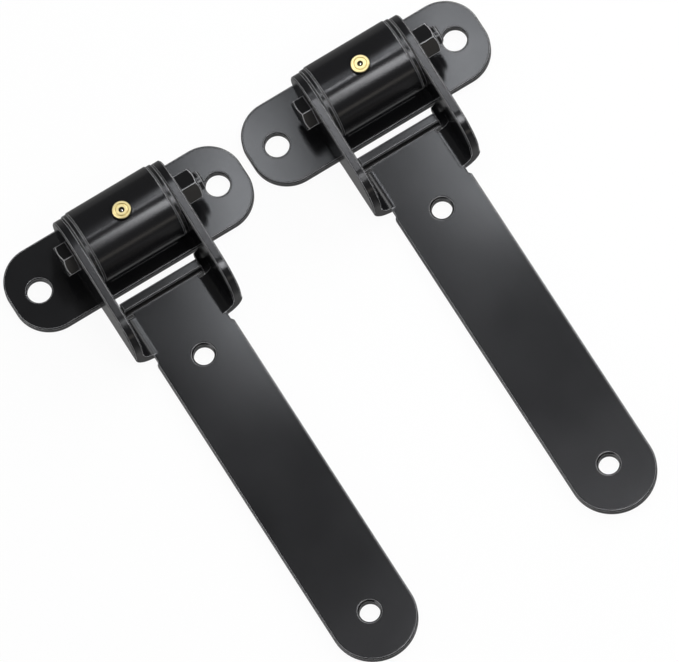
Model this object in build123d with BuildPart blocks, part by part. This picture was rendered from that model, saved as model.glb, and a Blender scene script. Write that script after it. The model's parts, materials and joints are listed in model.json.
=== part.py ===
"""A pair of bolt-on strap gate hinges, lying on their backs side by side.

Each hinge has a mounting plate with a barrel welded across it, and a strap leaf folded from one
sheet whose two ears hold the barrel on a bolt. X runs along the pivots, each strap reaches
towards -Y, and the backs of plates and straps lie on the plane z = 0. All sizes are in millimetres.
"""

import os
from math import acos, atan2, cos, hypot, pi, sin, sqrt, tan

from build123d import *

# How the two hinges lie
pair_gap = 4.8  # between the two plates, along the pivots
pair_stagger = 1.8  # how far the right hinge lies behind the left one

# Mounting plate
plate_length = 135.0
plate_width = 46.0
plate_thickness = 5.0
plate_corner_radius = 19.0
plate_hole_spacing = 104.0
plate_hole_diameter = 12.5

# Barrel and its flanged bushes
barrel_diameter = 40.0
barrel_length = 46.6
barrel_flat = 0.4  # depth of the flat that lies on the plate
bush_diameter = 24.0
bush_depth = 15.0  # length of a bush inside the barrel
flange_step = 0.5  # how far a flange's rim stands in from the barrel's
flange_thickness = 2.5
press_gap = 0.01  # radial, between a bush and the barrel's bore
end_play = 0.2  # between a flange and the ear beside it

# Weld beads along both sides of the barrel's foot
weld_length = 40.0
weld_leg_share = 0.76  # reach of a bead's toe from the pivot's plane, as a share of the barrel's radius
weld_climb_share = 0.6  # the same, of the line where a bead ends on the barrel
weld_gap = 0.01

# Pivot: sleeve, bolt and nut
sleeve_diameter = 16.0
sleeve_running_gap = 0.05  # radial, between the sleeve and a bush
bolt_diameter = 10.0
bolt_hole_gap = 0.1  # radial, between the bolt and the sleeve or an ear
hex_across_flats = 16.0
bolt_head_height = 6.4
nut_height = 10.0
nut_thread_gap = 0.02  # radial, between the bolt and the nut
bolt_proud = 3.6  # bolt standing out of the nut
bolt_point_chamfer = 1.0
hex_turn = 18.0  # degrees that a corner of the hexagons leans towards the strap
hex_face_share = 0.94  # round flat on a hexagon's end, as a share of the distance across flats
hex_chamfer_angle = 30.0

# Strap leaf
sheet_thickness = 5.0
strap_width = 44.6
ear_bend_radius = 7.0  # inside
lip_bend_radius = 1.5  # inside
strap_reach = 257.5  # from the pivot to the far end
strap_hole_diameter = 10.5
strap_hole_reach = 73.0  # from the pivot to the near hole
strap_hole_end = 25.5  # from the far hole to the far end
strap_hole_break = 1.0
ear_step = 1.0  # how far the ears' round ends stand in from the barrel's rim
ear_reach = 59.8  # from the pivot to the end of the ears
ear_corner_radius = 18.0
ear_end_height = 19.5  # top of an ear's straight end, above the strap's back
lip_gap = 6.3  # between the plate's edge and the lip
lip_height = 10.0  # above the strap's back
lip_end_gap = 3.5  # between an end of the lip and the ear beside it
heel_relief = 1.6  # gap between the lip's bend and the ears' bends
notch_length = 5.5  # notch in the strap's edge at the end of an ear
notch_depth = 1.2
edge_break = 0.6  # chamfer along cut edges

# Grease nipple, check ball and spring
spot_face_diameter = 8.6
spot_face_depth = 0.6
nipple_collar_diameter = 7.6
nipple_neck_height = 1.1  # collar above the spot face
nipple_head_diameter = 10.0
nipple_head_height = 2.0
nipple_groove_diameter = 6.4  # middle of the ring groove in the head
nipple_groove_width = 0.8
nipple_groove_depth = 0.3
nipple_stem_diameter = 6.0
nipple_stem_length = 6.5
nipple_stem_gap = 0.02
nipple_port_diameter = 3.0
nipple_port_depth = 0.6
nipple_bore = 2.6
nipple_mouth = 1.9
nipple_mouth_depth = 0.4
nipple_foot = 0.8  # thickness of the rim that holds the spring
nipple_foot_bore = 1.4
ball_diameter = 2.4
ball_gap = 0.03  # between the ball and its seat
spring_wire = 0.3
spring_wire_sides = 6  # the fine wire is drawn six-sided
spring_turns = 4
spring_gap = 0.05

# Sizes that follow from those above
pair_pitch = plate_length + pair_gap
barrel_radius = barrel_diameter / 2
weld_leg = weld_leg_share * barrel_radius
weld_climb = weld_climb_share * barrel_radius
flange_diameter = barrel_diameter - 2 * flange_step
ear_radius = barrel_radius - ear_step
pivot_height = plate_thickness + barrel_radius - barrel_flat
ear_inside = barrel_length / 2 + flange_thickness + end_play
ear_outside = ear_inside + sheet_thickness
ear_bend_top = sheet_thickness + ear_bend_radius
lip_bend_top = sheet_thickness + lip_bend_radius
half_strap = strap_width / 2
bend_start = ear_inside - ear_bend_radius
lip_front = plate_width / 2 + lip_gap
lip_back = lip_front + sheet_thickness
lip_half = ear_inside - lip_end_gap
strap_start = lip_back + lip_bend_radius
ear_heel_reach = strap_start + heel_relief
strap_far_hole_reach = strap_reach - strap_hole_end
hex_across_corners = hex_across_flats / cos(pi / 6)
spot_face_height = pivot_height + barrel_radius - spot_face_depth
nipple_head_foot = spot_face_height + nipple_neck_height
nipple_top = nipple_head_foot + nipple_head_height
ball_seat = nipple_top - nipple_port_depth - nipple_mouth_depth
ball_height = ball_seat - sqrt(ball_diameter**2 - nipple_mouth**2) / 2 - ball_gap
pair_depth = strap_reach + plate_width / 2 + pair_stagger
pivot_y = strap_reach - pair_depth / 2


def across(seat, x):
    """Plane square to the pivot at x: its x runs along the strap, its y up, and it faces -X."""
    return Plane(origin=seat.origin + Vector(x, 0, 0), x_dir=(0, -1, 0), z_dir=(-1, 0, 0))


def facing_strap(seat, reach, height):
    """Upright plane at a reach from the pivot, facing the strap's far end: x along the pivot, y up."""
    return Plane(origin=seat.origin + Vector(0, -reach, height), x_dir=(1, 0, 0), z_dir=(0, -1, 0))


def pivot_axis(seat):
    """Line of the pivot."""
    return Axis(seat.origin + Vector(0, 0, pivot_height), (1, 0, 0))


def polar(center, radius, angle):
    """Point at an angle, in radians, on a circle."""
    return (center[0] + radius * cos(angle), center[1] + radius * sin(angle))


def make_mounting_plate(seat):
    """Flat bar with round corners and a straight hole near each end."""
    with BuildPart() as plate:
        with BuildSketch(seat):
            RectangleRounded(plate_length, plate_width, plate_corner_radius)
            with GridLocations(plate_hole_spacing, 0, 2, 1):
                Circle(plate_hole_diameter / 2, mode=Mode.SUBTRACT)
        extrude(amount=plate_thickness)
        chamfer(plate.faces().filter_by(Axis.Z).edges(), edge_break)
    return plate.part


def make_barrel(seat):
    """Tube with broken ends, a flat along its foot and, on top, the nipple's spot face and hole."""
    with BuildPart() as barrel:
        with BuildSketch(across(seat, barrel_length / 2)):
            with Locations((0, pivot_height)):
                Circle(barrel_radius)
                Circle(bush_diameter / 2 + press_gap, mode=Mode.SUBTRACT)
        extrude(amount=barrel_length)
        chamfer(barrel.faces().filter_by(Axis.X).edges(), edge_break)
        with BuildSketch(seat):
            Rectangle(barrel_length, barrel_diameter)
        extrude(amount=plate_thickness, mode=Mode.SUBTRACT)
        with BuildSketch(seat.offset(spot_face_height)):
            Circle(spot_face_diameter / 2)
        extrude(amount=barrel_radius, mode=Mode.SUBTRACT)
        with BuildSketch(seat.offset(pivot_height)):
            Circle(nipple_stem_diameter / 2 + nipple_stem_gap)
        extrude(amount=barrel_diameter, mode=Mode.SUBTRACT)
    return barrel.part


def make_weld_bead(seat, side):
    """Bead in the wedge between the barrel and the plate: side 1 faces the strap, -1 the rear."""
    climb = pivot_height - sqrt(barrel_radius**2 - weld_climb**2)
    with BuildPart() as bead:
        with BuildSketch(across(seat, weld_length / 2)):
            with BuildLine():
                Polyline(
                    (side * weld_leg, plate_thickness),
                    (0, plate_thickness),
                    (0, pivot_height),
                    (side * weld_climb, climb),
                    close=True,
                )
            make_face()
            with Locations((0, pivot_height)):
                Circle(barrel_radius + weld_gap, mode=Mode.SUBTRACT)
        extrude(amount=weld_length)
    return bead.part


def make_bush(seat, side):
    """Flanged bush in one end of the barrel: side is -1 or 1 along the pivot."""
    inner_end = side * (barrel_length / 2 - bush_depth)
    flange_face = side * barrel_length / 2
    outer_end = flange_face + side * flange_thickness
    bore_radius = sleeve_diameter / 2 + sleeve_running_gap
    with BuildPart() as bush:
        with BuildSketch(facing_strap(seat, 0, pivot_height)):
            with BuildLine():
                Polyline(
                    (inner_end, bore_radius),
                    (inner_end, bush_diameter / 2),
                    (flange_face, bush_diameter / 2),
                    (flange_face, flange_diameter / 2),
                    (outer_end, flange_diameter / 2),
                    (outer_end, bore_radius),
                    close=True,
                )
            make_face()
        revolve(axis=pivot_axis(seat))
        rim = bush.edges().filter_by(GeomType.CIRCLE).group_by(SortBy.RADIUS)[-1]
        chamfer(rim, edge_break / 2)
    return bush.part


def make_pivot_sleeve(seat):
    """Spacer tube on the bolt, held between the ears, that the bushes turn on."""
    with BuildPart() as sleeve:
        with BuildSketch(across(seat, ear_inside)):
            with Locations((0, pivot_height)):
                Circle(sleeve_diameter / 2)
                Circle(bolt_diameter / 2 + bolt_hole_gap, mode=Mode.SUBTRACT)
        extrude(amount=2 * ear_inside)
    return sleeve.part


def hexagon_profile(inner, outer, chamfer_inner):
    """Half section, along the pivot, of the turned shape that rounds a hexagon's corners."""
    far_radius = hex_across_corners / 2 + edge_break
    flat_radius = hex_face_share * hex_across_flats / 2
    slope = (far_radius - flat_radius) * tan(hex_chamfer_angle * pi / 180)
    step = slope if outer > inner else -slope
    start = [(inner, 0), (inner, far_radius)]
    if chamfer_inner:
        start = [(inner, 0), (inner, flat_radius), (inner + step, far_radius)]
    return start + [(outer - step, far_radius), (outer, flat_radius), (outer, 0)]


def make_pivot_bolt(seat):
    """Hex bolt with its head outside the left ear and a chamfered point."""
    head_face = -ear_outside
    tip = ear_outside + nut_height + bolt_proud
    shank_radius = bolt_diameter / 2
    with BuildPart() as bolt:
        with BuildSketch(across(seat, head_face)):
            with Locations((0, pivot_height)):
                RegularPolygon(hex_across_flats / 2, 6, major_radius=False, rotation=90 - hex_turn)
        extrude(amount=bolt_head_height)
        with BuildSketch(facing_strap(seat, 0, pivot_height)):
            with BuildLine():
                Polyline(*hexagon_profile(head_face, head_face - bolt_head_height, False), close=True)
            make_face()
        revolve(axis=pivot_axis(seat), mode=Mode.INTERSECT)
        with BuildSketch(facing_strap(seat, 0, pivot_height)):
            with BuildLine():
                Polyline(
                    (head_face, 0),
                    (head_face, shank_radius),
                    (tip - bolt_point_chamfer, shank_radius),
                    (tip, shank_radius - bolt_point_chamfer),
                    (tip, 0),
                    close=True,
                )
            make_face()
        revolve(axis=pivot_axis(seat))
    return bolt.part


def make_hex_nut(seat):
    """Hex nut against the right ear, chamfered at both ends."""
    outer_end = ear_outside + nut_height
    with BuildPart() as nut:
        with BuildSketch(across(seat, outer_end)):
            with Locations((0, pivot_height)):
                RegularPolygon(hex_across_flats / 2, 6, major_radius=False, rotation=90 - hex_turn)
        extrude(amount=nut_height)
        with BuildSketch(facing_strap(seat, 0, pivot_height)):
            with BuildLine():
                Polyline(*hexagon_profile(ear_outside, outer_end, True), close=True)
            make_face()
        revolve(axis=pivot_axis(seat), mode=Mode.INTERSECT)
        with BuildSketch(across(seat, outer_end)):
            with Locations((0, pivot_height)):
                Circle(bolt_diameter / 2 + nut_thread_gap)
        extrude(amount=nut_height, mode=Mode.SUBTRACT)
    return nut.part


def make_strap_leaf(seat):
    """Strap folded from one sheet: flat strap, two ears, and a lip across its near end."""
    round_center = strap_reach - half_strap
    notch_end = ear_reach + notch_length
    notch_side = half_strap - notch_depth
    # the ear's outline: a round end, a sloping top edge and a round corner
    boss = (0, pivot_height)
    corner = (ear_reach - ear_corner_radius, ear_end_height)
    run = corner[0] - boss[0]
    drop = corner[1] - boss[1]
    top_angle = atan2(drop, run) + acos((ear_radius - ear_corner_radius) / hypot(run, drop))
    heel = (ear_heel_reach, ear_bend_top)
    heel_drop = heel[1] - boss[1]
    low_angle = atan2(heel_drop, heel[0]) - acos(ear_radius / hypot(heel[0], heel_drop))
    back_angle = (top_angle + low_angle) / 2 - pi
    boss_low = polar(boss, ear_radius, low_angle)
    boss_top = polar(boss, ear_radius, top_angle)
    corner_top = polar(corner, ear_corner_radius, top_angle)
    with BuildPart() as leaf:
        # ears
        for outer_side in (ear_outside, -ear_inside):
            with BuildSketch(across(seat, outer_side)):
                with BuildLine():
                    Line(heel, boss_low)
                    ThreePointArc(boss_low, polar(boss, ear_radius, back_angle), boss_top)
                    Line(boss_top, corner_top)
                    CenterArc(corner, ear_corner_radius, 0, top_angle * 180 / pi)
                    Polyline((ear_reach, ear_end_height), (ear_reach, ear_bend_top), heel)
                make_face()
                with Locations(boss):
                    Circle(bolt_diameter / 2 + bolt_hole_gap, mode=Mode.SUBTRACT)
            extrude(amount=sheet_thickness)
        # broken edges of the ears, from the heel round to the end
        top_edges = leaf.faces().filter_by(Axis.X).edges().filter_by(GeomType.LINE).group_by(Axis.Z)[-1]
        chamfer(top_edges, edge_break)
        # flat strap, narrower between the bends of the ears and notched at their ends
        with BuildSketch(seat):
            with BuildLine():
                Polyline(
                    (0, -strap_start),
                    (bend_start, -strap_start),
                    (bend_start, -ear_reach),
                    (notch_side, -ear_reach),
                    (notch_side, notch_depth - notch_end),
                    (half_strap, -notch_end),
                    (half_strap, -round_center),
                )
                CenterArc((0, -round_center), half_strap, -90, 90)
                mirror(about=Plane.YZ)
            make_face()
        extrude(amount=sheet_thickness)
        outline = leaf.faces().filter_by(Axis.Z).edges().filter_by_position(
            Axis.Y,
            seat.origin.Y - strap_reach - edge_break,
            seat.origin.Y - notch_end - edge_break,
        )
        chamfer(outline, edge_break)
        # bends of the ears
        with BuildSketch(facing_strap(seat, ear_heel_reach, 0)):
            with BuildLine():
                Line((bend_start, sheet_thickness), (bend_start, 0))
                CenterArc((bend_start, ear_bend_top), ear_bend_top, -90, 90)
                Line((ear_outside, ear_bend_top), (ear_inside, ear_bend_top))
                CenterArc((bend_start, ear_bend_top), ear_bend_radius, -90, 90)
            make_face()
            mirror(about=Plane.YZ)
        extrude(amount=ear_reach - ear_heel_reach)
        # lip and its bend
        with BuildSketch(across(seat, lip_half)):
            with BuildLine():
                CenterArc((strap_start, lip_bend_top), lip_bend_top, 180, 90)
                Line((strap_start, 0), (strap_start, sheet_thickness))
                CenterArc((strap_start, lip_bend_top), lip_bend_radius, 180, 90)
                Polyline(
                    (lip_back, lip_bend_top),
                    (lip_back, lip_height),
                    (lip_front, lip_height),
                    (lip_front, lip_bend_top),
                )
            make_face()
        extrude(amount=2 * lip_half)
        lip_top = leaf.faces().filter_by(Axis.Z).filter_by_position(
            Axis.Z,
            lip_height - edge_break,
            lip_height + edge_break,
        )
        chamfer(lip_top.edges(), edge_break)
        # fixing holes
        with BuildSketch(seat):
            for reach in (strap_hole_reach, strap_far_hole_reach):
                with Locations((0, -reach)):
                    Circle(strap_hole_diameter / 2)
        extrude(amount=sheet_thickness, mode=Mode.SUBTRACT)
        rims = leaf.edges().filter_by(GeomType.CIRCLE).filter_by_position(
            Axis.Z,
            sheet_thickness - edge_break,
            sheet_thickness + edge_break,
        )
        chamfer([edge for edge in rims if edge.is_closed], strap_hole_break)
    return leaf.part


def make_grease_nipple(seat):
    """Turned nipple: stem in the barrel, collar, flat button head, and a bore for ball and spring."""
    foot = spot_face_height - nipple_stem_length
    head_radius = nipple_head_diameter / 2
    groove_in = (nipple_groove_diameter - nipple_groove_width) / 2
    groove_out = (nipple_groove_diameter + nipple_groove_width) / 2
    with BuildPart() as nipple:
        with BuildSketch(facing_strap(seat, 0, 0)):
            with BuildLine():
                Polyline(
                    (nipple_foot_bore / 2, foot),
                    (nipple_stem_diameter / 2, foot),
                    (nipple_stem_diameter / 2, spot_face_height),
                    (nipple_collar_diameter / 2, spot_face_height),
                    (nipple_collar_diameter / 2, nipple_head_foot),
                    (head_radius, nipple_head_foot),
                    (head_radius, nipple_top - edge_break),
                    (head_radius - edge_break, nipple_top),
                    (groove_out, nipple_top),
                    (nipple_groove_diameter / 2, nipple_top - nipple_groove_depth),
                    (groove_in, nipple_top),
                    (nipple_port_diameter / 2, nipple_top),
                    (nipple_port_diameter / 2, nipple_top - nipple_port_depth),
                    (nipple_mouth / 2, nipple_top - nipple_port_depth),
                    (nipple_mouth / 2, ball_seat),
                    (nipple_bore / 2, ball_seat),
                    (nipple_bore / 2, foot + nipple_foot),
                    (nipple_foot_bore / 2, foot + nipple_foot),
                    close=True,
                )
            make_face()
        revolve(axis=Axis(seat.origin, (0, 0, 1)))
    return nipple.part


def make_check_ball(seat):
    """Ball that closes the nipple's mouth from inside."""
    with BuildPart(seat.offset(ball_height)) as ball:
        Sphere(ball_diameter / 2)
    return ball.part


def make_nipple_spring(seat):
    """Coil spring between the nipple's foot and the ball."""
    low = spot_face_height - nipple_stem_length + nipple_foot + spring_wire / 2 + spring_gap
    high = ball_height - ball_diameter / 2 - spring_wire / 2 - spring_gap
    coil_radius = (nipple_bore - spring_wire) / 2 - spring_gap
    with BuildPart() as spring:
        with BuildLine(seat.offset(low)) as coil:
            Helix(pitch=(high - low) / spring_turns, height=high - low, radius=coil_radius)
        with BuildSketch(Plane(origin=coil.line @ 0, z_dir=coil.line % 0)):
            RegularPolygon(spring_wire / 2, spring_wire_sides)
        sweep(is_frenet=True)
    return spring.part


def make_hinge(seat):
    """All pieces of one hinge whose pivot lies above the seat's origin."""
    return {
        "mounting_plate": make_mounting_plate(seat),
        "barrel": make_barrel(seat),
        "front_weld_bead": make_weld_bead(seat, 1),
        "rear_weld_bead": make_weld_bead(seat, -1),
        "head_side_bush": make_bush(seat, -1),
        "nut_side_bush": make_bush(seat, 1),
        "strap_leaf": make_strap_leaf(seat),
        "pivot_sleeve": make_pivot_sleeve(seat),
        "pivot_bolt": make_pivot_bolt(seat),
        "hex_nut": make_hex_nut(seat),
        "grease_nipple": make_grease_nipple(seat),
        "check_ball": make_check_ball(seat),
        "nipple_spring": make_nipple_spring(seat),
    }


seats = {
    "left": Plane((-pair_pitch / 2, pivot_y, 0)),
    "right": Plane((pair_pitch / 2, pivot_y + pair_stagger, 0)),
}

os.makedirs("parts", exist_ok=True)
for hinge_name, hinge_seat in seats.items():
    for piece_name, piece in make_hinge(hinge_seat).items():
        piece.label = f"{hinge_name}_{piece_name}"
        export_step(piece, f"parts/{piece.label}.step")
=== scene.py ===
"""Looks for the pair of strap gate hinges: finishes, threads, weld ripples, ear heels, studio and camera."""

import json
import logging
import math
from dataclasses import dataclass, field
from enum import Enum

import bpy
from mathutils import Matrix, Vector
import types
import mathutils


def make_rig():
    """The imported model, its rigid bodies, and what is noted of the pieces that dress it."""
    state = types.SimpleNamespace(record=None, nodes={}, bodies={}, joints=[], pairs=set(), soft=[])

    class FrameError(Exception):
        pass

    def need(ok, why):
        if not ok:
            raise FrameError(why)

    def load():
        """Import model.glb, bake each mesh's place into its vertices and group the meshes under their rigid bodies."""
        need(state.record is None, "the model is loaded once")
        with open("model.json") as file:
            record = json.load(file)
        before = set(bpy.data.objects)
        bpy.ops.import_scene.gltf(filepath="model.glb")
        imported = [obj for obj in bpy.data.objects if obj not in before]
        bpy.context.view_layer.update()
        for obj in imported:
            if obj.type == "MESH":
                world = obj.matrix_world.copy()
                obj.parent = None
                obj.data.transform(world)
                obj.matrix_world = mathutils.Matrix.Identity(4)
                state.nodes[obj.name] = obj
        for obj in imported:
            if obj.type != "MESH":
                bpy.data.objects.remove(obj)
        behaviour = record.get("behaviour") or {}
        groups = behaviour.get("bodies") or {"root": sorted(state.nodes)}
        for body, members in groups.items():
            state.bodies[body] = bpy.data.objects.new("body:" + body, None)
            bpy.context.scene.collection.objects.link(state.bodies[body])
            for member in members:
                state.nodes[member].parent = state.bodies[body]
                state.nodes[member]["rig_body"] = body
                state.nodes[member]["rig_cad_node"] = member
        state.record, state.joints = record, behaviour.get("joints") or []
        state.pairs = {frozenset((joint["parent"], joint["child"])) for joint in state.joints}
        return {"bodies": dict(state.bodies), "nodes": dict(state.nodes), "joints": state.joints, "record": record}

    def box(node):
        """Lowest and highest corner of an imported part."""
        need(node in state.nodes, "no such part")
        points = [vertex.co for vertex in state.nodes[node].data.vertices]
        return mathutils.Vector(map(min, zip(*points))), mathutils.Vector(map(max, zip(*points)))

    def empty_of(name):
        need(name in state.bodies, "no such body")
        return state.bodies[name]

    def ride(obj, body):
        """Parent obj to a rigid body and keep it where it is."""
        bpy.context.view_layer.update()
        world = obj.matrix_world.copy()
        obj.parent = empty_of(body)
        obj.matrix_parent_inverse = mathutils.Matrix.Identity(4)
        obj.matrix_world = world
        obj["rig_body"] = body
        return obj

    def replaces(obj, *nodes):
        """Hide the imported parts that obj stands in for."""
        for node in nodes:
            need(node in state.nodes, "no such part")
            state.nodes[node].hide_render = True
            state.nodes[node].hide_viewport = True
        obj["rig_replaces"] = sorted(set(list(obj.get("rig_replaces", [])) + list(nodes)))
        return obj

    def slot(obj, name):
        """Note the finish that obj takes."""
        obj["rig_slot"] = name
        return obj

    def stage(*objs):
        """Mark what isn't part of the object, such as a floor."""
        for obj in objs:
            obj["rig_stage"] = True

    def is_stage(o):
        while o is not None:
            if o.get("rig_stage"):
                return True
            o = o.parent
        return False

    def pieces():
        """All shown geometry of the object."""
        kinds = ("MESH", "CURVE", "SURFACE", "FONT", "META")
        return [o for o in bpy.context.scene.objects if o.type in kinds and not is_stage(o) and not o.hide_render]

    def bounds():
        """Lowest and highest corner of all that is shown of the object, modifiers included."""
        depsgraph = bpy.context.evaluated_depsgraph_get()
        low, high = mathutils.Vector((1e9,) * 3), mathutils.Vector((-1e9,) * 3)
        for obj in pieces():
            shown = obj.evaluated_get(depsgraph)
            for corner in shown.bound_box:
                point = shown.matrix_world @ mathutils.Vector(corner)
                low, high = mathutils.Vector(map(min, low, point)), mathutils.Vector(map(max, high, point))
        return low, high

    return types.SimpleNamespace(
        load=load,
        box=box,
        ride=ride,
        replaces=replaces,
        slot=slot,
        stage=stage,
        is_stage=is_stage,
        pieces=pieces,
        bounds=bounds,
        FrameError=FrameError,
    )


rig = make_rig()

LOG = logging.getLogger("gate_hinges")
MM = 0.001
SIZE_FILE = "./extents.json"
SMOOTH_ANGLE = math.radians(28)


class Side(Enum):
    """Which hinge of the pair a piece belongs to."""

    LEFT = "left"
    RIGHT = "right"


class Slot(Enum):
    """Material slots of the record."""

    COAT = "black_coat"
    BUSH = "black_bush"
    FASTENER = "black_fastener"
    STEEL = "bare_steel"
    BALL = "ball_steel"
    BRASS = "nipple_brass"


NODE_SLOTS: dict[str, Slot] = {
    "mounting_plate": Slot.COAT,
    "barrel": Slot.COAT,
    "front_weld_bead": Slot.COAT,
    "rear_weld_bead": Slot.COAT,
    "strap_leaf": Slot.COAT,
    "head_side_bush": Slot.BUSH,
    "nut_side_bush": Slot.BUSH,
    "pivot_bolt": Slot.FASTENER,
    "hex_nut": Slot.FASTENER,
    "pivot_sleeve": Slot.STEEL,
    "nipple_spring": Slot.STEEL,
    "check_ball": Slot.BALL,
    "grease_nipple": Slot.BRASS,
}


class ShaderSheet:
    """A material's node tree with a Principled shader, and short calls to add to it."""

    NOISE_SPAN = (0.3, 0.7)  # the part of a noise's range that it mostly fills
    STEP_HALF = 0.06 * MM
    EDGE_SAMPLES = 6
    EDGE_TURN = (0.985, 0.93)  # cosine of the turned normal where an edge starts and where it is full
    MIX_SHARE, MIX_FIRST, MIX_SECOND, MIX_COLOR = 0, 6, 7, 2  # sockets of a colour Mix node
    SHADER_BELOW, SHADER_ABOVE = 1, 2  # sockets of a Mix Shader node

    def __init__(self, name: str) -> None:
        """Starts an empty material.

        Args:
            name: the material's name.
        """
        self.material = bpy.data.materials.new(name)
        self.material.use_nodes = True
        self.tree = self.material.node_tree
        self.shader = self.tree.nodes["Principled BSDF"]

    def add(self, kind: str, **inputs: object) -> bpy.types.Node:
        """Adds a node and sets or links its inputs by name.

        Args:
            kind: the node's Blender type.
            inputs: values or sockets, by input name with underscores for spaces.

        Returns:
            The new node.
        """
        node = self.tree.nodes.new(kind)
        for name, value in inputs.items():
            self.feed(node, name.replace("_", " "), value)
        return node

    def feed(self, node: bpy.types.Node, name: str, value: object) -> None:
        """Sets an input to a value, or links a socket to it.

        Args:
            node: the node whose input is fed.
            name: the input's name.
            value: a socket to link, or a plain value.
        """
        if isinstance(value, bpy.types.NodeSocket):
            self.tree.links.new(value, node.inputs[name])
        else:
            node.inputs[name].default_value = value

    def object_point(self) -> bpy.types.NodeSocket:
        """Point in the object's own frame.

        Returns:
            The socket that gives it.
        """
        return self.add("ShaderNodeTexCoord").outputs["Object"]

    def noise(self, scale: float, detail: float, point: bpy.types.NodeSocket) -> bpy.types.NodeSocket:
        """Noise at a scale.

        Args:
            scale: cells to the metre.
            detail: octaves.
            point: where it is read.

        Returns:
            The noise's value socket.
        """
        return self.add("ShaderNodeTexNoise", Vector=point, Scale=scale, Detail=detail).outputs["Fac"]

    def remap(self, value: bpy.types.NodeSocket, low: float, high: float) -> bpy.types.NodeSocket:
        """Spreads a noise's middle range over two values.

        Args:
            value: the noise.
            low: result at its low end.
            high: result at its high end.

        Returns:
            The result's socket.
        """
        node = self.add("ShaderNodeMapRange", Value=value)
        self.feed(node, "From Min", self.NOISE_SPAN[0])
        self.feed(node, "From Max", self.NOISE_SPAN[1])
        self.feed(node, "To Min", low)
        self.feed(node, "To Max", high)
        return node.outputs["Result"]

    def blend(self, value: bpy.types.NodeSocket, first: tuple, second: tuple) -> bpy.types.NodeSocket:
        """Mixes two colours.

        Args:
            value: share of the second colour.
            first: colour at 0.
            second: colour at 1.

        Returns:
            The colour's socket.
        """
        node = self.tree.nodes.new("ShaderNodeMix")
        node.data_type = "RGBA"
        self.tree.links.new(value, node.inputs[self.MIX_SHARE])
        node.inputs[self.MIX_FIRST].default_value = (*first, 1.0)
        node.inputs[self.MIX_SECOND].default_value = (*second, 1.0)
        return node.outputs[self.MIX_COLOR]

    def mix_shaders(
        self, ray: bpy.types.NodeSocket, share: float, shader: bpy.types.NodeSocket, level: float
    ) -> bpy.types.NodeSocket:
        """Gives one kind of ray an even white in place of a share of a shader.

        Args:
            ray: socket that is 1 for that kind of ray.
            share: how much of the shader the white replaces.
            shader: the shader's socket.
            level: the white's level.

        Returns:
            The mixed shader's socket.
        """
        amount = self.add("ShaderNodeMapRange", Value=ray)
        self.feed(amount, "To Max", share)
        mix = self.add("ShaderNodeMixShader", Fac=amount.outputs["Result"])
        white = self.add("ShaderNodeEmission", Strength=level)
        self.tree.links.new(shader, mix.inputs[self.SHADER_BELOW])
        self.tree.links.new(white.outputs["Emission"], mix.inputs[self.SHADER_ABOVE])
        return mix.outputs["Shader"]

    def step(self, value: bpy.types.NodeSocket, edge: float, direction: float) -> bpy.types.NodeSocket:
        """Soft step from 0 to 1 at an edge.

        Args:
            value: what is compared with the edge, in metres.
            edge: where the step lies, in metres.
            direction: 1 where the step rises past the edge, -1 where it falls.

        Returns:
            The step's socket.
        """
        node = self.add("ShaderNodeMapRange", Value=value)
        self.feed(node, "From Min", edge - direction * self.STEP_HALF)
        self.feed(node, "From Max", edge + direction * self.STEP_HALF)
        return node.outputs["Result"]

    def paint_light_over(
        self, color: bpy.types.NodeSocket, share: bpy.types.NodeSocket, painted_light: tuple
    ) -> bpy.types.NodeSocket:
        """Lays a plain colour over another where a share says; here it paints highlights along edges and shade into
        recesses.

        Args:
            color: the colour below.
            share: how much of the stain shows.
            painted_light: the colour of the painted highlight or painted shade.

        Returns:
            The colour's socket.
        """
        node = self.tree.nodes.new("ShaderNodeMix")
        node.data_type = "RGBA"
        self.tree.links.new(share, node.inputs[self.MIX_SHARE])
        self.tree.links.new(color, node.inputs[self.MIX_FIRST])
        node.inputs[self.MIX_SECOND].default_value = (*painted_light, 1.0)
        return node.outputs[self.MIX_COLOR]

    def round_edges(self, radius: float) -> bpy.types.NodeSocket:
        """Normal that turns smoothly over sharp edges.

        Args:
            radius: how far from an edge it turns, in metres.

        Returns:
            The normal's socket.
        """
        node = self.add("ShaderNodeBevel", Radius=radius)
        node.samples = self.EDGE_SAMPLES
        return node.outputs["Normal"]

    def edge_share(self, turned: bpy.types.NodeSocket) -> bpy.types.NodeSocket:
        """Share that is 1 on sharp edges and 0 away from them.

        Args:
            turned: the normal that turns smoothly over the edges.

        Returns:
            The share's socket.
        """
        node = self.add("ShaderNodeVectorMath")
        node.operation = "DOT_PRODUCT"
        self.tree.links.new(turned, node.inputs[0])
        self.tree.links.new(self.add("ShaderNodeNewGeometry").outputs["Normal"], node.inputs[1])
        share = self.add("ShaderNodeMapRange", Value=node.outputs["Value"])
        self.feed(share, "From Min", self.EDGE_TURN[0])
        self.feed(share, "From Max", self.EDGE_TURN[1])
        return share.outputs["Result"]

    def bump(
        self, height: bpy.types.NodeSocket, depth: float, strength: float, normal: bpy.types.NodeSocket
    ) -> bpy.types.NodeSocket:
        """Bump from a height, on top of another normal.

        Args:
            height: the height's socket.
            depth: real depth in metres.
            strength: share of the effect.
            normal: the normal that the bump is added to.

        Returns:
            The normal's socket.
        """
        node = self.add("ShaderNodeBump", Height=height, Distance=depth, Strength=strength, Normal=normal)
        return node.outputs["Normal"]


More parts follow.
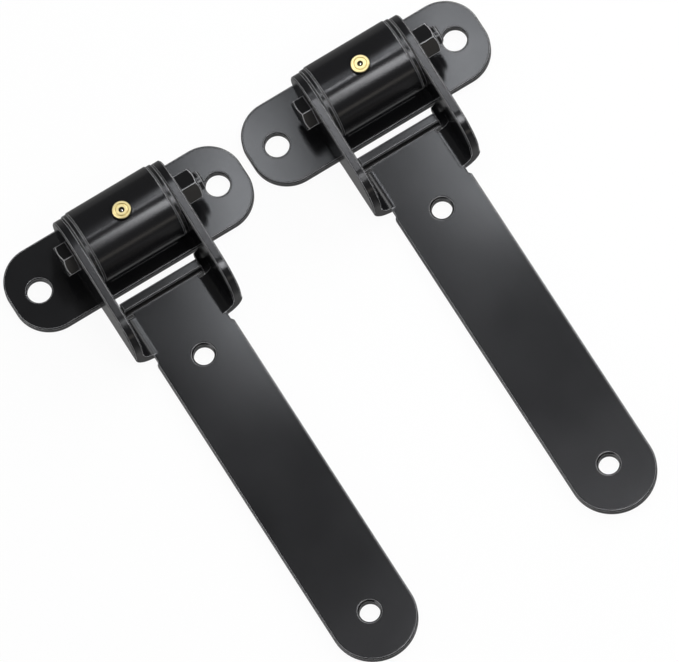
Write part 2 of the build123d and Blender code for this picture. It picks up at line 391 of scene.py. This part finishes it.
@dataclass(frozen=True)
class CoatFinish:
    """Powder coat over steel: dark, satin, with a fine orange-peel skin and pale painted highlights along its edges.
    """

    name: str
    dark: tuple[float, float, float]
    light: tuple[float, float, float]
    roughness: tuple[float, float]
    peel_scale: float
    peel_depth: float
    edge_radius: float = 0.7 * MM
    # painted highlight: a pale colour laid along sharp edges where a glossy edge would catch light
    painted_highlight_radius: float = 0.4 * MM
    painted_highlight: tuple[float, float, float] = (0.55, 0.55, 0.56)
    cloud_scale: float = 26.0
    cloud_detail: float = 3.0
    peel_detail: float = 2.0
    peel_strength: float = 0.35

    def build(self) -> bpy.types.Material:
        """Makes the material.

        Returns:
            The material.
        """
        sheet = ShaderSheet(self.name)
        point = sheet.object_point()
        cloud = sheet.noise(self.cloud_scale, self.cloud_detail, point)
        peel = sheet.noise(self.peel_scale, self.peel_detail, point)
        edges = sheet.round_edges(self.edge_radius)
        # paints pale highlight lines into the base colour along sharp edges
        painted_highlight_share = sheet.edge_share(sheet.round_edges(self.painted_highlight_radius))
        color = sheet.paint_light_over(sheet.blend(cloud, self.dark, self.light), painted_highlight_share, self.painted_highlight)
        sheet.feed(sheet.shader, "Base Color", color)
        sheet.feed(sheet.shader, "Roughness", sheet.remap(cloud, *self.roughness))
        sheet.feed(sheet.shader, "Normal", sheet.bump(peel, self.peel_depth, self.peel_strength, edges))
        return sheet.material


@dataclass(frozen=True)
class MetalFinish:
    """Bare metal with fine random wear."""

    name: str
    dark: tuple[float, float, float]
    light: tuple[float, float, float]
    roughness: tuple[float, float]
    grain_scale: float
    edge_radius: float = 0.15 * MM
    grain_detail: float = 4.0
    grain_depth: float = 0.004 * MM
    grain_strength: float = 0.1

    def build(self) -> bpy.types.Material:
        """Makes the material.

        Returns:
            The material.
        """
        sheet = ShaderSheet(self.name)
        grain = sheet.noise(self.grain_scale, self.grain_detail, sheet.object_point())
        sheet.feed(sheet.shader, "Metallic", 1.0)
        sheet.feed(sheet.shader, "Base Color", sheet.blend(grain, self.dark, self.light))
        sheet.feed(sheet.shader, "Roughness", sheet.remap(grain, *self.roughness))
        edges = sheet.round_edges(self.edge_radius)
        normal = sheet.bump(grain, self.grain_depth, self.grain_strength, edges)
        sheet.feed(sheet.shader, "Normal", normal)
        return sheet.material


@dataclass(frozen=True)
class BrassFinish:
    """Turned brass about an upright axis: lathe rings, with painted shade in the port and round the outer rim."""

    name: str
    axis: tuple[float, float]
    pale: tuple[float, float, float] = (0.95, 0.82, 0.44)
    deep: tuple[float, float, float] = (0.82, 0.67, 0.31)
    # painted shade for the recessed port and for the dark outline round the rim
    grease: tuple[float, float, float] = (0.02, 0.016, 0.01)
    port_radius: float = 1.5 * MM
    rim_radius: float = 4.7 * MM
    roughness: float = 0.4
    ring_scale: float = 900.0
    ring_wobble: float = 0.4
    ring_share: tuple[float, float] = (0.3, 0.7)

    def build(self) -> bpy.types.Material:
        """Makes the material.

        Returns:
            The material.
        """
        sheet = ShaderSheet(self.name)
        place = sheet.add("ShaderNodeMapping", Vector=sheet.object_point())
        place.inputs["Location"].default_value = (-self.axis[0], -self.axis[1], 0.0)
        place.inputs["Scale"].default_value = (1.0, 1.0, 0.0)
        radius = sheet.add("ShaderNodeVectorMath")
        radius.operation = "LENGTH"
        sheet.tree.links.new(place.outputs["Vector"], radius.inputs[0])
        distance = radius.outputs["Value"]
        rings = sheet.add(
            "ShaderNodeTexWave",
            Vector=place.outputs["Vector"],
            Scale=self.ring_scale,
            Distortion=self.ring_wobble,
        )
        rings.wave_type = "RINGS"
        rings.rings_direction = "SPHERICAL"
        color = sheet.blend(sheet.remap(rings.outputs["Fac"], *self.ring_share), self.deep, self.pale)
        # paints shade into the port and outside the rim, where the recess and the spot face lie in shadow
        color = sheet.paint_light_over(color, sheet.step(distance, self.port_radius, -1.0), self.grease)
        color = sheet.paint_light_over(color, sheet.step(distance, self.rim_radius, 1.0), self.grease)
        sheet.feed(sheet.shader, "Metallic", 1.0)
        sheet.feed(sheet.shader, "Base Color", color)
        sheet.feed(sheet.shader, "Roughness", self.roughness)
        return sheet.material


FINISHES: dict[Slot, CoatFinish | MetalFinish] = {
    Slot.COAT: CoatFinish(
        "black_powder_coat",
        dark=(0.0055, 0.0055, 0.006),
        light=(0.008, 0.008, 0.0088),
        roughness=(0.17, 0.21),
        peel_scale=900.0,
        peel_depth=0.012 * MM,
        edge_radius=1.2 * MM,
    ),
    Slot.BUSH: CoatFinish(
        "black_turned_bush",
        dark=(0.0055, 0.0055, 0.0059),
        light=(0.0085, 0.0085, 0.0091),
        roughness=(0.18, 0.24),
        peel_scale=900.0,
        peel_depth=0.012 * MM,
    ),
    Slot.FASTENER: CoatFinish(
        "black_fastener",
        dark=(0.005, 0.005, 0.0054),
        light=(0.0075, 0.0075, 0.0081),
        roughness=(0.16, 0.22),
        peel_scale=800.0,
        peel_depth=0.012 * MM,
        # wider painted highlight lines along the nut's and bolt head's edges
        painted_highlight_radius=0.7 * MM,
    ),
    Slot.STEEL: MetalFinish(
        "bare_steel",
        dark=(0.36, 0.36, 0.37),
        light=(0.5, 0.5, 0.51),
        roughness=(0.25, 0.4),
        grain_scale=400.0,
    ),
    Slot.BALL: MetalFinish(
        "polished_ball",
        dark=(0.75, 0.75, 0.77),
        light=(0.85, 0.85, 0.86),
        roughness=(0.06, 0.12),
        grain_scale=300.0,
    ),
}


def apply_modifier(piece: bpy.types.Object, kind: str, **settings: object) -> None:
    """Adds a modifier to a piece and applies it.

    Args:
        piece: the mesh object.
        kind: the modifier's Blender type.
        settings: the modifier's settings.
    """
    modifier = piece.modifiers.new(kind.lower(), kind)
    for name, value in settings.items():
        setattr(modifier, name, value)
    bpy.context.view_layer.objects.active = piece
    bpy.ops.object.modifier_apply(modifier=modifier.name)


def pick(piece: bpy.types.Object) -> None:
    """Selects one piece alone and makes it the active one.

    Args:
        piece: the mesh object.
    """
    bpy.ops.object.select_all(action="DESELECT")
    piece.select_set(True)
    bpy.context.view_layer.objects.active = piece


def give_finish(piece: bpy.types.Object, material: bpy.types.Material) -> None:
    """Gives a piece one finish all over.

    Args:
        piece: the mesh object.
        material: its finish.
    """
    piece.data.materials.clear()
    piece.data.materials.append(material)


def settle(piece: bpy.types.Object, name: str) -> bpy.types.Object:
    """Names a piece and moves its place into its mesh.

    Args:
        piece: the mesh object.
        name: its new name.

    Returns:
        The piece.
    """
    pick(piece)
    bpy.ops.object.transform_apply(location=True, rotation=True, scale=True)
    piece.name = name
    return piece


@dataclass
class BoltThread:
    """Thread ridge on the end of the bolt that stands out of the nut."""

    side: Side
    pitch: float = 1.5 * MM
    ridge: float = 0.32 * MM
    corners: int = 3
    steps: int = 40
    bolt_radius: float = 5.0 * MM
    sunk_share: float = 0.55
    end_room: float = 1.2 * MM
    nut_room: float = 0.4 * MM

    def build(self, material: bpy.types.Material) -> bpy.types.Object:
        """Winds the ridge about the bolt's line.

        Args:
            material: its finish.

        Returns:
            The ridge.
        """
        prefix = self.side.value
        nut_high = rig.box(f"{prefix}_hex_nut")[1]
        bolt_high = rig.box(f"{prefix}_pivot_bolt")[1]
        sleeve_low, sleeve_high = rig.box(f"{prefix}_pivot_sleeve")
        center = (sleeve_low + sleeve_high) / 2
        radius = self.bolt_radius - self.ridge * self.sunk_share
        turns = int((bolt_high.x - nut_high.x - self.end_room) / self.pitch)
        bpy.ops.mesh.primitive_circle_add(
            vertices=self.corners,
            radius=self.ridge,
            fill_type="NGON",
            location=(0, 0, radius),
            rotation=(math.pi / 2, 0, 0),
        )
        ridge = settle(bpy.context.object, f"{prefix}_bolt_thread")
        apply_modifier(
            ridge,
            "SCREW",
            axis="X",
            screw_offset=self.pitch,
            iterations=max(turns, 1),
            steps=self.steps,
            render_steps=self.steps,
        )
        ridge.location = (nut_high.x + self.nut_room, center.y, center.z)
        settle(ridge, ridge.name)
        give_finish(ridge, material)
        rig.ride(ridge, f"{prefix}_leaf")
        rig.slot(ridge, Slot.FASTENER.value)
        return ridge


@dataclass
class WeldRipple:
    """Weld bead laid as overlapping puddles, in place of a plain CAD bead."""

    side: Side
    node: str
    puddle_pitch: float = 1.8 * MM
    puddle_radii: tuple[float, float, float] = (2.3 * MM, 2.0 * MM, 2.2 * MM)
    puddle_lean: tuple[float, float] = (0.45, 0.3)
    first_puddle: float = 0.7
    toe_inset: float = 1.8 * MM
    lift: float = 0.5 * MM
    segments: int = 20
    rings: int = 12
    voxel: float = 0.4 * MM

    def build(self, material: bpy.types.Material) -> bpy.types.Object:
        """Lays the puddles along the bead and melts them together.

        Args:
            material: its finish.

        Returns:
            The bead.
        """
        name = f"{self.side.value}_{self.node}"
        low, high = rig.box(name)
        barrel_low, barrel_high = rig.box(f"{self.side.value}_barrel")
        outward = 1.0 if low.y + high.y > barrel_low.y + barrel_high.y else -1.0
        toe = high.y if outward > 0 else low.y
        count = int((high.x - low.x) / self.puddle_pitch)
        puddles: list[bpy.types.Object] = []
        for index in range(count):
            x = low.x + (index + self.first_puddle) * self.puddle_pitch
            bpy.ops.mesh.primitive_uv_sphere_add(
                segments=self.segments,
                ring_count=self.rings,
                radius=1.0,
                location=(x, toe - outward * self.toe_inset, low.z + self.lift),
                scale=self.puddle_radii,
            )
            bpy.context.object.rotation_euler = (outward * self.puddle_lean[0], self.puddle_lean[1], 0)
            puddles.append(bpy.context.object)
        bpy.ops.object.select_all(action="DESELECT")
        for puddle in puddles:
            puddle.select_set(True)
        bpy.context.view_layer.objects.active = puddles[0]
        bpy.ops.object.join()
        bead = settle(bpy.context.object, f"{name}_ripple")
        apply_modifier(bead, "REMESH", mode="VOXEL", voxel_size=self.voxel, use_smooth_shade=True)
        give_finish(bead, material)
        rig.ride(bead, "plates")
        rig.replaces(bead, name)
        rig.slot(bead, Slot.COAT.value)
        return bead


@dataclass
class EarHeel:
    """Bend at the foot of an ear where it runs on past the lip's end towards the plate.

    The end is -1 at the bolt's head and 1 at the nut, and reaches are measured from the pivot.
    """

    side: Side
    end: int
    sheet: float = 5.0 * MM
    bend_inside: float = 7.0 * MM
    start_reach: float = 37.6 * MM
    front_reach: float = 25.0 * MM
    slit_from_ear: float = 3.3 * MM
    edge_break: float = 0.3 * MM
    break_segments: int = 2
    break_angle: float = math.radians(40)
    merge_distance: float = 0.01 * MM
    steps: int = 12

    def build(self, material: bpy.types.Material) -> bpy.types.Object:
        """Turns the sheet's edge up through the bend and trims it beside the lip.

        Args:
            material: its finish.

        Returns:
            The heel.
        """
        prefix = self.side.value
        leaf_low, leaf_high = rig.box(f"{prefix}_strap_leaf")
        sleeve_low, sleeve_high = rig.box(f"{prefix}_pivot_sleeve")
        pivot = (sleeve_low + sleeve_high) / 2
        ear_inside = (leaf_high.x - leaf_low.x) / 2 - self.sheet
        bend_x = pivot.x + self.end * (ear_inside - self.bend_inside)
        bend_z = leaf_low.z + self.sheet + self.bend_inside
        depth = self.start_reach - self.front_reach
        middle_y = pivot.y - (self.start_reach + self.front_reach) / 2
        bpy.ops.mesh.primitive_plane_add(
            size=1.0,
            location=(bend_x, middle_y, leaf_low.z + self.sheet / 2),
            rotation=(0, math.pi / 2, 0),
        )
        heel = bpy.context.object
        heel.scale = (self.sheet, depth, 1.0)
        settle(heel, f"{prefix}_{'nut' if self.end > 0 else 'head'}_ear_heel")
        bpy.ops.object.mode_set(mode="EDIT")
        bpy.ops.mesh.select_all(action="SELECT")
        bpy.ops.mesh.spin(
            steps=self.steps, angle=math.pi / 2, center=(bend_x, middle_y, bend_z), axis=(0, self.end, 0)
        )
        bpy.ops.mesh.select_all(action="SELECT")
        bpy.ops.mesh.bisect(
            plane_co=(pivot.x + self.end * (ear_inside - self.slit_from_ear), middle_y, bend_z),
            plane_no=(-self.end, 0, 0),
            use_fill=True,
            clear_outer=True,
        )
        bpy.ops.mesh.select_all(action="SELECT")
        bpy.ops.mesh.remove_doubles(threshold=self.merge_distance)
        bpy.ops.mesh.normals_make_consistent(inside=False)
        bpy.ops.object.mode_set(mode="OBJECT")
        apply_modifier(
            heel,
            "BEVEL",
            width=self.edge_break,
            segments=self.break_segments,
            limit_method="ANGLE",
            angle_limit=self.break_angle,
        )
        bpy.ops.object.shade_smooth_by_angle(angle=SMOOTH_ANGLE)
        give_finish(heel, material)
        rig.ride(heel, f"{prefix}_leaf")
        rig.slot(heel, Slot.COAT.value)
        return heel


@dataclass
class Hinge:
    """One hinge of the pair: dresses its CAD nodes and adds its fine pieces."""

    side: Side
    nodes: dict[str, bpy.types.Object]
    finishes: dict[Slot, bpy.types.Material]

    def dress(self) -> None:
        """Gives each CAD node its finish and smooth shading on its round faces."""
        for name, slot in NODE_SLOTS.items():
            node = self.nodes[f"{self.side.value}_{name}"]
            give_finish(node, self.finishes[slot])
            pick(node)
            bpy.ops.object.shade_smooth_by_angle(angle=SMOOTH_ANGLE)
            LOG.info("dressed %s as %s", node.name, slot.value)

    def add_details(self) -> None:
        """Adds the bolt's thread, the welds' ripples and the ears' heels."""
        thread = BoltThread(self.side).build(self.finishes[Slot.FASTENER])
        LOG.info("added %s", thread.name)
        for node in ("front_weld_bead", "rear_weld_bead"):
            bead = WeldRipple(self.side, node).build(self.finishes[Slot.COAT])
            LOG.info("added %s", bead.name)
        for end in (-1, 1):
            heel = EarHeel(self.side, end).build(self.finishes[Slot.COAT])
            LOG.info("added %s", heel.name)


@dataclass
class PhotoCamera:
    """Long-lens camera set so that a known point of the part falls on its place in the photograph."""

    anchor: Vector
    anchor_px: tuple[float, float] = (128.42, 237.47)
    image_px: tuple[int, int] = (679, 662)
    toward: Vector = field(default_factory=lambda: Vector((-0.118, -0.33, 1.0)))
    roll: float = math.radians(30.88)
    px_per_m: float = 2007.0
    distance: float = 8.0
    clip_share: float = 4.0

    def build(self) -> bpy.types.Object:
        """Places the camera.

        Returns:
            The camera.
        """
        back = self.toward.normalized()
        along = Vector((1, 0, 0)) - back.x * back
        along.normalize()
        square = back.cross(along)
        right = math.cos(self.roll) * along - math.sin(self.roll) * square
        up = math.sin(self.roll) * along + math.cos(self.roll) * square
        offset_right = (self.image_px[0] / 2 - self.anchor_px[0]) / self.px_per_m
        offset_up = (self.anchor_px[1] - self.image_px[1] / 2) / self.px_per_m
        target = self.anchor + offset_right * right + offset_up * up
        data = bpy.data.cameras.new("photo_camera")
        data.sensor_fit = "HORIZONTAL"
        data.lens = data.sensor_width * self.distance * self.px_per_m / self.image_px[0]
        data.clip_end = self.clip_share * self.distance
        camera = bpy.data.objects.new("photo_camera", data)
        bpy.context.scene.collection.objects.link(camera)
        rotation = Matrix((right, up, back)).transposed()
        camera.matrix_world = Matrix.Translation(target + self.distance * back) @ rotation.to_4x4()
        bpy.context.scene.camera = camera
        return camera


@dataclass(frozen=True)
class Softbox:
    """Rectangular area lamp that faces a point."""

    name: str
    place: tuple[float, float, float]
    target: tuple[float, float, float]
    size: tuple[float, float]
    level: float
    color: tuple[float, float, float] = (1.0, 1.0, 1.0)

    def build(self) -> bpy.types.Object:
        """Hangs the lamp.

        Returns:
            The lamp.
        """
        data = bpy.data.lights.new(self.name, "AREA")
        data.shape = "RECTANGLE"
        data.size, data.size_y = self.size
        data.energy = self.level * math.pi * self.size[0] * self.size[1]
        data.color = self.color
        lamp = bpy.data.objects.new(self.name, data)
        bpy.context.scene.collection.objects.link(lamp)
        lamp.location = self.place
        aim = Vector(self.target) - Vector(self.place)
        lamp.rotation_euler = aim.to_track_quat("-Z", "Y").to_euler()
        lamp.visible_camera = False
        return lamp


@dataclass
class Studio:
    """White sweep, soft lamps and a white world."""

    floor_half: float = 4.0
    floor_drop: float = 0.02 * MM
    paper_dark: tuple[float, float, float] = (0.78, 0.78, 0.78)
    paper_light: tuple[float, float, float] = (0.8, 0.8, 0.8)
    paper_grain: float = 180.0
    paper_detail: float = 2.0
    paper_roughness: float = 0.95
    world_level: float = 0.5
    world_mirrored: float = 0.1
    floor_glow: float = 0.94
    floor_mirrored: float = 0.26
    lamps: tuple[Softbox, ...] = (
        Softbox(
            "left_plate_top",
            place=(0.044, 0.255, 0.5),
            target=(-0.015, 0.09, 0.0),
            size=(0.044, 0.14),
            level=10.0,
            color=(0.92, 0.95, 1.0),
        ),
        Softbox(
            "right_plate_top",
            place=(0.184, 0.257, 0.5),
            target=(0.125, 0.09, 0.0),
            size=(0.044, 0.14),
            level=10.0,
            color=(0.92, 0.95, 1.0),
        ),
        Softbox(
            "left_ear_top",
            place=(0.16, 0.217, 1.6),
            target=(-0.03, 0.1, 0.0),
            size=(0.06, 0.12),
            level=24.0,
            color=(0.94, 0.95, 1.0),
        ),
        Softbox(
            "right_ear_top",
            place=(0.3, 0.219, 1.6),
            target=(0.11, 0.1, 0.0),
            size=(0.06, 0.12),
            level=24.0,
            color=(0.94, 0.95, 1.0),
        ),
        Softbox(
            "left_barrel_band",
            place=(0.032, -0.18, 0.6),
            target=(-0.05, 0.11, 0.0),
            size=(0.055, 0.26),
            level=13.0,
            color=(0.96, 0.97, 1.0),
        ),
        Softbox(
            "right_barrel_band",
            place=(0.172, -0.178, 0.6),
            target=(0.09, 0.11, 0.0),
            size=(0.055, 0.26),
            level=13.0,
            color=(0.96, 0.97, 1.0),
        ),
        Softbox(
            "right_softbox",
            place=(1.0, 0.42, 0.56),
            target=(0.0, 0.05, 0.0),
            size=(1.4, 0.85),
            level=3.2,
        ),
        Softbox(
            "left_softbox",
            place=(-1.15, 0.12, 0.18),
            target=(0.0, 0.05, 0.0),
            size=(1.5, 0.28),
            level=4.0,
        ),
        Softbox(
            "front_softbox",
            place=(0.1, -1.2, 0.42),
            target=(0.0, 0.0, 0.0),
            size=(0.8, 0.2),
            level=0.9,
            color=(1.0, 0.93, 0.84),
        ),
    )

    def build(self) -> None:
        """Builds floor, lamps and world."""
        self.build_floor()
        for lamp in self.lamps:
            lamp.build()
            LOG.info("hung %s", lamp.name)
        self.build_world()

    def build_floor(self) -> None:
        """Lays the floor just under the part."""
        bpy.ops.mesh.primitive_plane_add(size=2 * self.floor_half, location=(0, 0, -self.floor_drop))
        floor = settle(bpy.context.object, "studio_floor")
        sheet = ShaderSheet("floor_paper")
        grain = sheet.noise(self.paper_grain, self.paper_detail, sheet.object_point())
        sheet.feed(sheet.shader, "Base Color", sheet.blend(grain, self.paper_dark, self.paper_light))
        sheet.feed(sheet.shader, "Roughness", self.paper_roughness)
        sheet.feed(sheet.shader, "Specular IOR Level", 0.0)
        paths = sheet.add("ShaderNodeLightPath").outputs
        output = sheet.tree.nodes["Material Output"].inputs["Surface"]
        seen = sheet.mix_shaders(paths["Is Camera Ray"], self.floor_glow, sheet.shader.outputs["BSDF"], 1.0)
        mirrored = sheet.mix_shaders(paths["Is Glossy Ray"], 1.0, seen, self.floor_mirrored)
        sheet.tree.links.new(mirrored, output)
        give_finish(floor, sheet.material)
        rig.stage(floor)

    def build_world(self) -> None:
        """Lights the part evenly, shows the camera plain white and is dimmer in its mirrored image."""
        world = bpy.data.worlds.new("studio_world")
        bpy.context.scene.world = world
        world.use_nodes = True
        tree = world.node_tree
        background = tree.nodes["Background"]
        background.inputs["Color"].default_value = (1.0, 1.0, 1.0, 1.0)
        path = tree.nodes.new("ShaderNodeLightPath")
        level = tree.nodes.new("ShaderNodeMapRange")
        level.inputs["To Min"].default_value = self.world_level
        level.inputs["To Max"].default_value = self.world_mirrored
        tree.links.new(path.outputs["Is Glossy Ray"], level.inputs["Value"])
        shown = tree.nodes.new("ShaderNodeMapRange")
        tree.links.new(path.outputs["Is Camera Ray"], shown.inputs["Value"])
        tree.links.new(level.outputs["Result"], shown.inputs["To Min"])
        shown.inputs["To Max"].default_value = 1.0
        tree.links.new(shown.outputs["Result"], background.inputs["Strength"])


def record_size(moment: str) -> None:
    """Args:
        moment: key under which they are written.
    """
    low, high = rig.bounds()
    sizes: dict[str, list] = {}
    if moment != "loaded":
        with open(SIZE_FILE, encoding="utf-8") as source:
            sizes = json.load(source)
    sizes[moment] = [list(low), list(high)]
    with open(SIZE_FILE, "w", encoding="utf-8") as target:
        json.dump(sizes, target)


def main() -> None:
    """Builds the looks of the pair and its studio."""
    logging.basicConfig(level=logging.INFO, format="%(name)s: %(message)s")
    for leftover in list(bpy.data.objects):
        bpy.data.objects.remove(leftover)
    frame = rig.load()
    record_size("loaded")
    materials = {slot: finish.build() for slot, finish in FINISHES.items()}
    for side in Side:
        low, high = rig.box(f"{side.value}_grease_nipple")
        axis = ((low.x + high.x) / 2, (low.y + high.y) / 2)
        brass = BrassFinish(f"turned_brass_{side.value}", axis).build()
        hinge = Hinge(side, frame["nodes"], {**materials, Slot.BRASS: brass})
        hinge.dress()
        hinge.add_details()
    low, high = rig.box("left_mounting_plate")
    anchor = Vector(((low.x + high.x) / 2, (low.y + high.y) / 2, high.z))
    PhotoCamera(anchor).build()
    Studio().build()
    bpy.context.scene.view_settings.view_transform = "Standard"
    record_size("finished")


if __name__ == "__main__":
    main()
